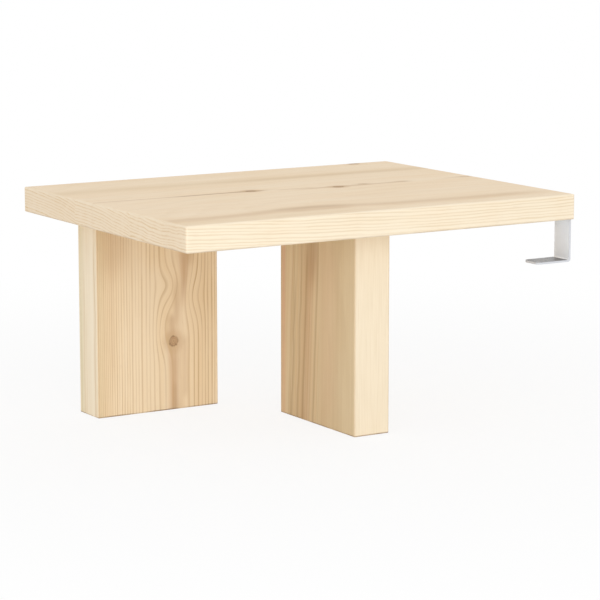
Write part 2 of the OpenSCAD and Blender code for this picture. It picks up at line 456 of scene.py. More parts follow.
class KnotMark(Effect):
    """A branch cut through: its core, its dark rim, its rings and the stained wood round it."""

    name = "knot_mark"
    inputs = "along across depth centre_along centre_across radius stretch".split()
    outputs = "core rim halo rings checks".split()
    RAGGED: ClassVar[Place] = (0.2, 0.24, 0.1)
    RAGGEDNESS: ClassVar[float] = 0.55
    SPOKES: ClassVar[Place] = (1.9, 0.31, 0.17)
    RING_TURNS: ClassVar[float] = 16.0
    # Distances over the radius between which each mark grows, from none to full.
    CORE: ClassVar[Range] = (1.12, 0.74)
    HALO: ClassVar[Range] = (3.1, 0.9)
    RIM_INSIDE: ClassVar[Range] = (0.6, 0.9)
    RIM_OUTSIDE: ClassVar[Range] = (1.25, 0.95)
    CHECKED: ClassVar[Range] = (0.95, 0.7)
    # Levels of the spokes between which the rim closes and the checks open.
    CLOSED: ClassVar[Range] = (0.3, 0.6)
    OPEN: ClassVar[Range] = (0.62, 0.72)
    # What a closed rim gains, and what an open one keeps.
    RIM_SHARES: ClassVar[Range] = (0.75, 0.25)

    def wire(self, graph: Graph, given: Sockets) -> Sockets:
        """Distance over radius, roughened by noise, cut at fixed steps. Checks run out along radii.

        Args:
            graph: the group's graph.
            given: its inputs.

        Returns:
            A share for each mark.
        """
        far = graph.math("DIVIDE", graph.less(given.along, given.centre_along), given.stretch)
        side = graph.less(given.across, given.centre_across)
        distance = graph.math("DIVIDE", graph.length(far, side), given.radius)
        distance = graph.scaled(graph.wave(given.spot(), self.RAGGED), self.RAGGEDNESS, distance)
        bearing = graph.math("ARCTAN2", far, side)
        spokes = graph.noise((bearing, given.radius, given.centre_along), self.SPOKES, 1.0)
        closed = graph.scaled(graph.smooth(spokes, *self.CLOSED), *self.RIM_SHARES)
        turns = graph.math("SINE", graph.times(distance, self.RING_TURNS))
        return Sockets(
            core=graph.smooth(distance, *self.CORE),
            rim=graph.times(graph.smooth(distance, *self.RIM_INSIDE),
                            graph.smooth(distance, *self.RIM_OUTSIDE), closed),
            halo=graph.smooth(distance, *self.HALO),
            rings=graph.scaled(turns, 0.5, 0.5),
            checks=graph.times(graph.smooth(spokes, *self.OPEN),
                               graph.smooth(distance, *self.CHECKED)),
        )


class StainLine(Effect):
    """A stain that runs with the grain: a bell across a line that sways, humps and fades at its ends."""

    name = "stain_line"
    inputs = ("along across depth line half_width start end fade sway hump hump_along "
              "hump_reach").split()
    outputs = ["stain"]
    SWING: ClassVar[Place] = (0.014, 1.0, 1.0)
    BREAKS: ClassVar[Place] = (0.02, 0.55, 0.55)
    # What the noise adds at its highest, and what the stain keeps without it.
    BREAK_SHARES: ClassVar[Range] = (0.7, 0.6)

    def wire(self, graph: Graph, given: Sockets) -> Sockets:
        """Bell of the distance from the line, times its two ends, broken up by fine noise.

        Args:
            graph: the group's graph.
            given: its inputs.

        Returns:
            The stain's share.
        """
        far = graph.less(given.along, given.hump_along)
        hump = graph.times(graph.bell(far, given.hump_reach), given.hump)
        swing = graph.times(graph.wave((given.along, given.line, 0.0), self.SWING), given.sway)
        line = graph.plus(graph.plus(given.line, hump), swing)
        across = graph.bell(graph.less(given.across, line), given.half_width)
        starts = graph.smooth(given.along, graph.less(given.start, given.fade), given.start)
        ends = graph.smooth(given.along, graph.plus(given.end, given.fade), given.end)
        broken = graph.scaled(graph.noise(given.spot(), self.BREAKS), *self.BREAK_SHARES)
        return Sockets(stain=graph.times(across, graph.times(starts, ends), broken))


class EdgeTone(Effect):
    """Masks of a box's edges, ends and wide faces, from how near a point is to its faces."""

    name = "edge_tone"
    inputs = "along across depth length width thickness reach".split()
    outputs = "near end face".split()
    # Share of the reach inside which the edge mask is full, and where the others start and are full.
    FULL: ClassVar[float] = 0.4
    END: ClassVar[Range] = (1.6, 0.2)
    FACE: ClassVar[Range] = (2.4, 0.2)

    def wire(self, graph: Graph, given: Sockets) -> Sockets:
        """Edges come from the second smallest distance to a face, ends and faces from their own.

        Args:
            graph: the group's graph.
            given: its inputs.

        Returns:
            A share for each mask.
        """
        sizes = (given.length, given.width, given.thickness)
        near = [graph.math("MINIMUM", place, graph.less(size, place))
                for place, size in zip(given.spot(), sizes)]
        low = graph.math("MINIMUM", near[0], near[1])
        high = graph.math("MAXIMUM", near[0], near[1])
        second = graph.math("MAXIMUM", low, graph.math("MINIMUM", high, near[2]))
        return Sockets(near=graph.smooth(second, given.reach, graph.times(given.reach, self.FULL)),
                       end=graph.smooth(near[0], *self.END), face=graph.smooth(near[2], *self.FACE))


class Course(Enum):
    """What a stain keeps to: the bent grain, the board's straight edges, or its thickness."""

    GRAIN = "grain"
    EDGE = "edge"
    THROUGH = "through"


class Tone(Enum):
    """Colours of pine's stains, and of the light and shade painted on its boards."""

    PALE = colour(252, 238, 213)
    CREAM = colour(249, 242, 222)
    PINK = colour(224, 180, 150)
    TAN = colour(226, 200, 160)
    OLIVE = colour(216, 202, 160)
    BROWN = colour(206, 172, 132)
    UMBER = colour(176, 140, 104)
    RUST = colour(204, 160, 124)
    # This brown is painted shade along the lowest arrises, not a stain.
    SHADE_BROWN = colour(140, 104, 72)


@dataclass(frozen=True)
class Size:
    """Size of a glued-up board in millimetres, and how far its arrises reach in."""

    length: float
    width: float
    thickness: float
    reach: float = 2.4


@dataclass(frozen=True)
class Rings:
    """Rings of one board, in millimetres from its corner, counted from their pith."""

    pith_across: float
    pith_depth: float
    per_mm: float
    tightening: float = 0.0
    late_share: float = 0.5
    waver: float = 3.0
    ripple: float = 0.8
    ripple_pitch: float = 0.014
    bow: float = 0.0
    bow_along: float = 0.0
    uneven: float = 1.2
    start: float = 0.0
    contrast: float = 0.6
    year_tone: float = 0.25
    face_fade: float = 0.0
    end_gain: float = 0.25


@dataclass(frozen=True)
class Swell:
    """One place where the grain bends, in millimetres."""

    centre_along: float
    centre_across: float
    reach_along: float
    reach_across: float
    push: float = 0.0
    spread: float = 0.0


@dataclass(frozen=True)
class Knot:
    """One knot, in millimetres. Stretch is its length along the grain over its width."""

    centre_along: float
    centre_across: float
    radius: float
    stretch: float = 1.0
    strength: float = 1.0
    halo: float = 0.4
    swell: float = 0.6
    # How many radii along and across the grain the swell round a knot reaches.
    REACH: ClassVar[Range] = (3.2, 2.4)

    def bend(self) -> Swell:
        """Swell of the grain round the knot."""
        return Swell(self.centre_along, self.centre_across, self.REACH[0] * self.radius * self.stretch,
                     self.REACH[1] * self.radius, spread=self.swell)


@dataclass(frozen=True)
class Stain:
    """One stain that runs along the board, in millimetres across it or through its thickness."""

    line: float
    half_width: float
    tone: Tone
    amount: float
    start: float = -50.0
    end: float = 600.0
    fade: float = 30.0
    sway: float = 6.0
    hump: float = 0.0
    hump_along: float = 0.0
    hump_reach: float = 50.0


@dataclass(frozen=True)
class PineTones:
    """Colours of one board's early wood, warm streaks, late wood, end grain and knots."""

    early: Colour = colour(252, 233, 206)
    warm: Colour = colour(246, 221, 187)
    late: Colour = colour(224, 194, 150)
    end: Colour = colour(243, 228, 205)
    knot: Colour = colour(200, 166, 130)
    rim: Colour = colour(140, 108, 80)
    check: Colour = colour(104, 72, 50)


@dataclass(frozen=True)
class Figure:
    """What a board's colour is worked out from: its places, straight and bent, and its effects."""

    graph: Graph
    place: Sockets
    grown: Sockets
    rings: Sockets
    fibre: Sockets
    edge: Sockets


@dataclass(frozen=True)
class Finish(ABC):
    """A finish, whose material is built from its fields."""

    name: str

    @abstractmethod
    def surface(self, graph: Graph) -> Node:
        """Wires the surface.

        Args:
            graph: the material's graph.

        Returns:
            The shader.
        """

    def material(self) -> bpy.types.Material:
        """Builds the material.

        Returns:
            The material.
        """
        made = bpy.data.materials.new(self.name)
        graph = blank(made)
        graph.add("ShaderNodeOutputMaterial", Surface=self.surface(graph).outputs[0])
        return made


@dataclass(frozen=True)
class PineBoard(Finish):
    """Planed and sanded pine with a matt clear oil, grown round the board's own pith.

    The stains are laid in the order in which they are given.
    """

    lie: Lie
    corner: Place
    size: Size
    rings: Rings
    stains: dict[Course, tuple[Stain, ...]]
    tones: PineTones = PineTones()
    swells: tuple[Swell, ...] = ()
    knots: tuple[Knot, ...] = ()
    seed: float = 0.0
    lean: float = 0.0
    end_share: float = 0.6
    # How strongly the arrises near the lower face brown, as painted shade on the edges that face down.
    low_edge_shade: float = 0.8
    patchiness: float = 0.5
    # Share of its tone that each arris takes. The pale tone is a painted highlight where the rounded
    # edges catch the light.
    arris: float = 0.3
    arris_tone: Tone = Tone.PALE
    # Levels of each noise at which it starts to show and shows in full.
    STREAKS: ClassVar[Range] = (0.38, 0.68)
    CLOUDS: ClassVar[Range] = (0.35, 0.7)
    HAIRS: ClassVar[Range] = (0.3, 0.7)
    PATCHES: ClassVar[Range] = (0.25, 0.6)
    # Shares of each colour, what lifts or lowers the roughness and the relief, and what the end
    # grain loses of a stain.
    WARM: ClassVar[float] = 0.35
    HAIR: ClassVar[float] = 0.12
    DUCTS: ClassVar[float] = 0.35
    END_LOSS: ClassVar[float] = -0.85
    KNOT_RINGS: ClassVar[float] = 0.35
    KNOT_CHECKS: ClassVar[float] = 0.45
    KNOT_RIM: ClassVar[float] = 0.7
    ROUGH: ClassVar[float] = 0.68
    ROUGH_LATE: ClassVar[float] = -0.12
    ROUGH_HAIR: ClassVar[float] = 0.08
    HIGH_HAIR: ClassVar[float] = 0.6
    HIGH_KNOTS: ClassVar[float] = 0.8
    HIGH_DUCTS: ClassVar[float] = -0.8
    # Heights in millimetres between which a low arris browns as painted shade, and the pitch of its
    # patches.
    LOW_SHADE: ClassVar[Range] = (2.4, 0.9)
    LOW_SHADE_PITCH: ClassVar[Place] = (0.03, 0.03, 0.03)

    def bent(self, graph: Graph, place: Sockets) -> Socket:
        """Place across the board after its lean and every swell and knot have bent the grain.

        Args:
            graph: the material's graph.
            place: the places along, across and through the board.

        Returns:
            The bent place across.
        """
        across = place.across
        if self.lean:
            across = graph.scaled(place.along, self.lean, across)
        knots = [knot.bend() for knot in self.knots if knot.swell]
        for bend in (*self.swells, *knots):
            across = GrainSwell().place(graph, bend, along=place.along, across=across).across
        return across

    def surface(self, graph: Graph) -> Node:
        """Lays stains, painted light and shade on the arrises, and knots over the clear wood.

        Late wood takes more polish than early wood, and stands a few hundredths of a millimetre
        proud, as the knots do.

        Args:
            graph: the material's graph.

        Returns:
            The shader.
        """
        place = graph.places(self.lie, self.corner)
        grown = Sockets(along=place.along, across=self.bent(graph, place), depth=place.depth)
        rings = GrowthRings().place(graph, grown, self.rings)
        fibre = Fibre().place(graph, grown, seed=self.seed)
        edge = EdgeTone().place(graph, place, self.size)
        figure = Figure(graph, place, grown, rings, fibre, edge)
        tint = self.painted_light_and_shade(figure, self.stained(figure, self.wood(figure)))
        tint, knots = self.knotted(figure, tint)
        polished = graph.scaled(rings.late, self.ROUGH_LATE, self.ROUGH)
        height = graph.scaled(fibre.hair, self.HIGH_HAIR, rings.late)
        height = graph.plus(height, graph.times(knots, self.HIGH_KNOTS))
        height = graph.scaled(fibre.duct, self.HIGH_DUCTS, height)
        return graph.principled(tint, graph.scaled(fibre.hair, self.ROUGH_HAIR, polished), height,
                                strength=0.35, relief=0.00004, Specular_IOR_Level=0.08)

    def wood(self, figure: Figure) -> Socket:
        """Colour of the clear wood: streaks, late wood, ducts and end grain.

        Args:
            figure: the board's figure.

        Returns:
            The colour.
        """
        graph, rings, fibre, end = figure.graph, figure.rings, figure.fibre, figure.edge.end
        streak = graph.smooth(fibre.streak, *self.STREAKS)
        cloud = graph.smooth(fibre.cloud, *self.CLOUDS)
        warm = graph.scaled(cloud, self.WARM, graph.times(streak, self.WARM))
        kept = graph.scaled(figure.edge.face, -self.rings.face_fade, 1.0)
        warm = graph.scaled(graph.times(rings.year, kept), self.rings.year_tone, warm)
        tint = graph.mix(warm, self.tones.early, self.tones.warm)
        contrast = graph.times(graph.scaled(end, self.rings.end_gain, self.rings.contrast), kept)
        tint = graph.mix(graph.times(end, self.end_share), tint, self.tones.end)
        kept_late = graph.scaled(fibre.patch, self.patchiness, 1.0 - self.patchiness)
        late = graph.times(rings.late, kept_late)
        tint = graph.mix(graph.times(late, contrast), tint, self.tones.late)
        hair = graph.smooth(fibre.hair, *self.HAIRS)
        tint = graph.mix(graph.times(hair, self.HAIR), tint, self.tones.late)
        return graph.mix(graph.times(fibre.duct, self.DUCTS), tint, Tone.BROWN.value)

    def stained(self, figure: Figure, tint: Socket) -> Socket:
        """Lays the stains over a colour. They are skin deep, so the end grain shows little of them.

        Args:
            figure: the board's figure.
            tint: the clear wood's colour.

        Returns:
            The stained colour.
        """
        graph, grown = figure.graph, figure.grown
        kept = graph.scaled(figure.edge.end, self.END_LOSS, 1.0)
        turned = Sockets(along=grown.along, across=grown.depth, depth=grown.across)
        courses = {Course.GRAIN: grown, Course.EDGE: figure.place, Course.THROUGH: turned}
        for course, stains in self.stains.items():
            for stain in stains:
                mask = StainLine().place(graph, courses[course], stain).stain
                tint = graph.mix(graph.times(mask, kept, stain.amount), tint, stain.tone.value)
        return tint

    def painted_light_and_shade(self, figure: Figure, tint: Socket) -> Socket:
        """Tints the arrises and browns the lowest ones. A pale arris tone is a painted highlight on the
        rounded edges, and the browning is painted shade along the edges that face down.

        Args:
            figure: the board's figure.
            tint: the colour so far.

        Returns:
            The colour.
        """
        graph, place, near = figure.graph, figure.place, figure.edge.near
        tint = graph.mix(graph.times(near, self.arris), tint, self.arris_tone.value)
        # Painted shade: arrises within a few millimetres of the lower face brown in patches.
        height = place.depth
        if self.lie is not Lie.FLAT:
            height = graph.less(self.size.length, place.along)
        patchy = graph.smooth(graph.noise(place.spot(), self.LOW_SHADE_PITCH), *self.PATCHES)
        low = graph.times(graph.smooth(height, *self.LOW_SHADE), near, patchy, self.low_edge_shade)
        return graph.mix(low, tint, Tone.SHADE_BROWN.value)

    def knotted(self, figure: Figure, tint: Socket) -> tuple[Socket, Value]:
        """Lays the knots over a colour.

        Args:
            figure: the board's figure.
            tint: the colour so far.

        Returns:
            The colour with its knots, and the sum of their cores.
        """
        graph, tones = figure.graph, self.tones
        cores: Value = 0.0
        for knot in self.knots:
            mark = KnotMark().place(graph, figure.place, knot)
            tint = graph.mix(graph.times(mark.halo, knot.halo), tint, Tone.BROWN.value)
            core = graph.times(mark.core, knot.strength)
            ringed = graph.mix(graph.times(mark.rings, self.KNOT_RINGS), tones.knot, tones.rim)
            ringed = graph.mix(graph.times(mark.checks, self.KNOT_CHECKS), ringed, tones.check)
            tint = graph.mix(core, tint, ringed)
            tint = graph.mix(graph.times(mark.rim, self.KNOT_RIM * knot.strength), tint, tones.rim)
            cores = graph.plus(cores, core)
        return tint, cores


@dataclass(frozen=True)
class Beech(Finish):
    """Turned bare beech with its fine flecks, for dowels."""

    pale: Colour = colour(228, 204, 170)
    dark: Colour = colour(206, 174, 134)
    fleck: Colour = colour(170, 126, 88)
    streaks: Range = (0.35, 0.65)
    fleck_pitch: Place = (0.5, 2.4, 2.4)
    flecks: Range = (0.62, 0.74)
    fleck_share: float = 0.6
    roughness: float = 0.55
    hair_roughness: float = 0.2
    seed: float = 9.0

    def surface(self, graph: Graph) -> Node:
        """Drawn-out streaks and short brown flecks along Z.

        Args:
            graph: the material's graph.

        Returns:
            The shader.
        """
        place = graph.places(Lie.TURNED)
        fibre = Fibre().place(graph, place, seed=self.seed)
        tint = graph.mix(graph.smooth(fibre.streak, *self.streaks), self.pale, self.dark)
        flecks = graph.smooth(graph.noise(place.spot(), self.fleck_pitch, 0.0), *self.flecks)
        tint = graph.mix(graph.times(flecks, self.fleck_share), tint, self.fleck)
        rough = graph.scaled(fibre.hair, self.hair_roughness, self.roughness)
        return graph.principled(tint, rough, fibre.hair, strength=0.4, relief=0.0001)


@dataclass(frozen=True)
class Metal(Finish):
    """Metal, bare or painted. Pitch is the fineness of its marks per millimetre along X, Y and Z."""

    bright: Colour
    dull: Colour
    metallic: float
    roughness: float
    pitch: Place
    relief: float = 0.00002
    shine: float = 0.5
    CLOUDS: ClassVar[Place] = (0.05, 0.05, 0.05)
    DULLED: ClassVar[Range] = (0.3, 0.7)
    ROUGH_MARKS: ClassVar[float] = 0.3

    def surface(self, graph: Graph) -> Node:
        """Fine marks in colour, roughness and relief, and slow clouds.

        Args:
            graph: the material's graph.

        Returns:
            The shader.
        """
        mm = graph.places(Lie.AS_BUILT).spot()
        marks = graph.noise(mm, self.pitch, 3.0)
        share = graph.scaled(graph.noise(mm, self.CLOUDS), 0.5, graph.times(marks, 0.5))
        tint = graph.mix(graph.smooth(share, *self.DULLED), self.bright, self.dull)
        rough = graph.scaled(graph.less(share, 0.5), self.ROUGH_MARKS, self.roughness)
        return graph.principled(self.wear_and_shade(graph, tint, mm), rough, marks, strength=0.4,
                                relief=self.relief, Metallic=self.metallic,
                                Specular_IOR_Level=self.shine)

    def wear_and_shade(self, graph: Graph, tint: Socket, mm: Sequence[Socket]) -> Socket:
        """The metal's colour with its wear and painted shade. Plain metal has none."""
        return tint


@dataclass(frozen=True)
class ShadedFootCoat(Metal):
    """Painted steel, greyer on its cut edges, with painted shade on the upper face of its foot, where
    the rail slides in, darker towards the bend.

    Lengths are in millimetres. The pairs are where a mark starts and where it is full.
    """

    shade_from_below: Range = (184.15, 184.4)
    shade_from_above: Range = (185.7, 185.0)
    shade_from_bend: Range = (246.5, 245.0)
    shade_to_bend: Range = (216.5, 246.5)
    shade_streak_pitch: Place = (0.05, 0.5, 0.5)
    shade_streak_levels: Range = (0.42, 0.72)
    bend_shade_gain: float = 0.25
    foot_below: float = 204.5
    middle: float = -172.5
    half_width: float = 13.5
    corner: float = 6.0
    bare_edge: Range = (5.5, 5.85)
    foot_end: float = 204.0
    flange_end: float = 190.0
    cut: Colour = colour(214, 216, 221)
    painted_light_and_shade: Colour = colour(138, 138, 140)
    deep_foot_shade: Colour = colour(105, 105, 108)

    def wear_and_shade(self, graph: Graph, tint: Socket, mm: Sequence[Socket]) -> Socket:
        """Greys the cut edges, and paints shade on the foot's upper face in streaks along X that darken
        towards the bend.

        Args:
            graph: the material's graph.
            tint: the coat's colour.
            mm: X, Y and Z in millimetres.

        Returns:
            The colour.
        """
        tint = graph.mix(self.edge(graph, mm), tint, self.cut)
        # Painted shade on the foot's upper face, under the board above and into the bend.
        shaded_foot = graph.times(graph.smooth(mm[2], *self.shade_from_below),
                          graph.smooth(mm[2], *self.shade_from_above),
                          graph.smooth(mm[0], *self.shade_from_bend))
        nearer = graph.times(graph.smooth(mm[0], *self.shade_to_bend), self.bend_shade_gain)
        streaks = graph.plus(graph.noise(mm, self.shade_streak_pitch, 3.0), nearer)
        dark = graph.smooth(streaks, *self.shade_streak_levels)
        return graph.mix(shaded_foot, tint, graph.mix(dark, self.painted_light_and_shade, self.deep_foot_shade))

    def edge(self, graph: Graph, mm: Sequence[Socket]) -> Socket:
        """Mask of the cut edges: points near the strip's outline, whose free corners are rounded.

        The distance to the corner circles' middles is compared with their radius, and it counts only
        what lies beyond those middles across the strip and past them towards a free end.

        Args:
            graph: the material's graph.
            mm: X, Y and Z in millimetres.

        Returns:
            The mask.
        """
        lower = graph.math("LESS_THAN", mm[2], self.foot_below)
        end = graph.scaled(lower, self.foot_end - self.flange_end, self.flange_end + self.corner)
        past = graph.math("MAXIMUM", graph.less(end, mm[0]), 0.0)
        side = graph.math("ABSOLUTE", graph.less(mm[1], self.middle))
        beyond = graph.math("MAXIMUM", graph.less(side, self.half_width - self.corner), 0.0)
        return graph.smooth(graph.length(past, beyond), *self.bare_edge)


@dataclass(frozen=True)
class FloorPaint(Finish):
    """Pale floor that keeps the table's shadow and looks white away from it. Lengths are in metres.

    It is clear to the eye from below, and to light for the soles that stand just over it.
    """

    paint: Colour = (0.97, 0.97, 0.97, 1.0)
    whiteness: float = 0.84
    whiter: Range = (0.35, 1.1)
    sole_gap: float = 0.0009

    def surface(self, graph: Graph) -> Node:
        """Mixes matt paint with a white glow, and both with clear air.

        Args:
            graph: the material's graph.

        Returns:
            The shader.
        """
        place = graph.add("ShaderNodeTexCoord").outputs["Object"]
        distance = graph.add("ShaderNodeVectorMath", operation="LENGTH", Vector=place)
        far = graph.smooth(distance.outputs["Value"], *self.whiter)
        white = graph.scaled(far, 1.0 - self.whiteness, self.whiteness)
        pale = graph.mixed(graph.times(white, graph.seen()),
                           graph.add("ShaderNodeBsdfDiffuse", Color=self.paint),
                           graph.add("ShaderNodeEmission", Strength=1.0))
        path = graph.add("ShaderNodeLightPath").outputs
        back = graph.add("ShaderNodeNewGeometry").outputs["Backfacing"]
        unseen = graph.times(back, path["Is Camera Ray"])
        close = graph.math("LESS_THAN", path["Ray Length"], self.sole_gap)
        soft = graph.math("MAXIMUM", path["Is Diffuse Ray"], path["Is Shadow Ray"])
        clear = graph.math("MAXIMUM", unseen, graph.times(close, soft))
        return graph.mixed(clear, pale, graph.add("ShaderNodeBsdfTransparent"))


@dataclass(frozen=True)
class Thread:
    """A coarse right-handed wood thread, in millimetres up the turned piece that it is cut into."""

    start: float
    end: float
    pitch: float
    depth: float
    crest: float = 0.14
    root: float = 0.62
    run_in: float = 1.2
    deepest: float = 0.4

    def cut(self, height: np.ndarray, angle: np.ndarray, radius: np.ndarray) -> np.ndarray:
        """How deep the thread lies below the crest, at most its deepest share of the radius.

        The share of a pitch from the ridge's middle is height over pitch less angle over a whole turn.
        The cut rises in a straight line from the crest's half width to the root's, and fades in over
        run_in at the start.

        Args:
            height: height of each point.
            angle: angle of each point, in radians.
            radius: radius of the turned piece at each point.

        Returns:
            The depth at each point.
        """
        share = height / self.pitch - angle / (2.0 * np.pi)
        far = np.abs(share - np.round(share)) * 2.0
        slope = np.clip((far - self.crest) / (self.root - self.crest), 0.0, 1.0)
        inside = (height >= self.start) & (height <= self.end)
        grown = np.clip((height - self.start) / self.run_in, 0.0, 1.0)
        return np.minimum(slope * self.depth, self.deepest * radius) * grown * inside


@dataclass(frozen=True)
class Cross:
    """A cross recess with leaning walls in the lower face of a turned piece, in millimetres."""

    length: float
    width: float
    depth: float
    lean: float = 0.22

    def sunk(self, across: np.ndarray, along: np.ndarray) -> np.ndarray:
        """How far each point of the face is sunk: its distance inside either bar over lean, up to depth.

        Args:
            across: X of each point.
            along: Y of each point.

        Returns:
            The rise of each point.
        """
        half_length, half_width = self.length / 2.0, self.width / 2.0
        bars = [
            np.minimum(half_length - np.abs(a), half_width - np.abs(b))
            for a, b in ((across, along), (along, across))
        ]
        return self.depth * np.clip(np.maximum(*bars) / self.lean, 0.0, 1.0)


def linked(name: str, data: bpy.types.ID) -> bpy.types.Object:
    """Puts a mesh, a lamp or a camera into the scene.

    Args:
        name: the object's name.
        data: what it shows.

    Returns:
        The object.
    """
    made = bpy.data.objects.new(name, data)
    bpy.context.scene.collection.objects.link(made)
    return made


@dataclass(frozen=True)
class Turned:
    """A turned piece: an outline carried round an upright axis, then threaded, fluted or recessed.

    The outline is the height and radius of each corner and the number of steps from the corner before,
    from the middle of the lower end to the middle of the upper one, in millimetres.
    """

    outline: tuple[tuple[float, float, int], ...]
    around: int = 48
    thread: Optional[Thread] = None
    recess: Optional[Cross] = None
    flutes: int = 0
    flute_depth: float = 0.0

    def rows(self) -> tuple[np.ndarray, np.ndarray]:
        """Heights and radii of the rows of points, the two poles among them.

        Returns:
            Two arrays of one length.
        """
        corners = np.array(self.outline)
        steps = corners[1:, 2].astype(int)
        share = np.concatenate([np.arange(1, count + 1) / count for count in steps])
        low = np.repeat(corners[:-1, :2], steps, axis=0)
        high = np.repeat(corners[1:, :2], steps, axis=0)
        points = np.vstack([corners[:1, :2], low + (high - low) * share[:, None]])
        return points[:, 0], points[:, 1]

    def points(self) -> np.ndarray:
        """Points of the surface round the origin: the lower pole, the rings upwards and the upper pole.

        The radius is the outline's, less the thread's cut and less the flutes' cut, which is the cosine
        of flutes times the angle. The recess lifts the points of the lower face.

        Returns:
            An array of points in millimetres.
        """
        heights, radii = self.rows()
        angles = np.linspace(0.0, 2.0 * np.pi, self.around, endpoint=False)
        height, angle = np.meshgrid(heights[1:-1], angles, indexing="ij")
        radius = np.repeat(radii[1:-1, None], self.around, axis=1)
        if self.flutes:
            radius = radius - self.flute_depth * (0.5 + 0.5 * np.cos(self.flutes * angle))
        if self.thread is not None:
            radius = radius - self.thread.cut(height, angle, radius)
        across, along = radius * np.cos(angle), radius * np.sin(angle)
        poles = heights[[0, -1]]
        if self.recess is not None:
            height = height + self.recess.sunk(across, along) * (height <= heights[0])
            poles = poles + np.array([self.recess.depth, 0.0])
        rings = np.stack([across, along, height], axis=-1).reshape(-1, 3)
        ends = np.array([[0.0, 0.0, poles[0]], [0.0, 0.0, poles[1]]])
        return np.vstack([ends[:1], rings, ends[1:]])

    def faces(self) -> tuple[np.ndarray, np.ndarray]:
        """Fans round the two poles and four-sided faces between the rings, all facing outwards.

        Returns:
            The three-sided faces and the four-sided ones, as numbers of points.
        """
        rings = len(self.rows()[0]) - 2
        here = np.arange(self.around)
        after = np.roll(here, -1)
        first, last = 1, 1 + (rings - 1) * self.around
        lower = np.stack([np.zeros_like(here), first + after, first + here], axis=1)
        top = 1 + rings * self.around
        upper = np.stack([np.full_like(here, top), last + here, last + after], axis=1)
        base = 1 + self.around * np.arange(rings - 1)[:, None]
        quads = np.stack([base + here, base + after, base + self.around + after,
                          base + self.around + here], axis=-1).reshape(-1, 4)
        return np.vstack([lower, upper]), quads

    def stand(self, name: str, node: str, slot: str, places: Sequence[Place],
              finish: Finish) -> None:
        """Stands one copy at each place, all in one piece that stands for a node.

        Args:
            name: the piece's name.
            node: the node that it stands for.
            slot: the record's material slot, which is not used.
            places: the places of its origin, in millimetres.
            finish: its finish.
        """
        points = self.points()
        all_points = (np.array(places)[:, None] + points).reshape(-1, 3) / MM_PER_M
        first = len(points) * np.arange(len(places))[:, None, None]
        all_faces = [face for part in self.faces()
                     for face in (first + part).reshape(-1, part.shape[1]).tolist()]
        mesh = bpy.data.meshes.new(name)
        mesh.from_pydata(all_points.tolist(), [], all_faces)
        mesh.polygons.foreach_set("use_smooth", np.ones(len(all_faces), dtype=bool))
        mesh.set_sharp_from_angle(angle=math.radians(SHARP_DEG))
        mesh.materials.append(finish.material())
        piece = linked(name, mesh)
        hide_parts(node)
        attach(piece, "root")
        LOG.info("made %s for %s: %d faces", name, node, len(all_faces))


def dress(node: str, finish: Finish) -> None:
    """Gives a CAD node one finish all over.

    Args:
        node: the node's name.
        finish: the finish.
    """
    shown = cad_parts[node]
    shown.data.materials.clear()
    shown.data.materials.append(finish.material())
    LOG.info("dressed %s with %s", node, finish.name)


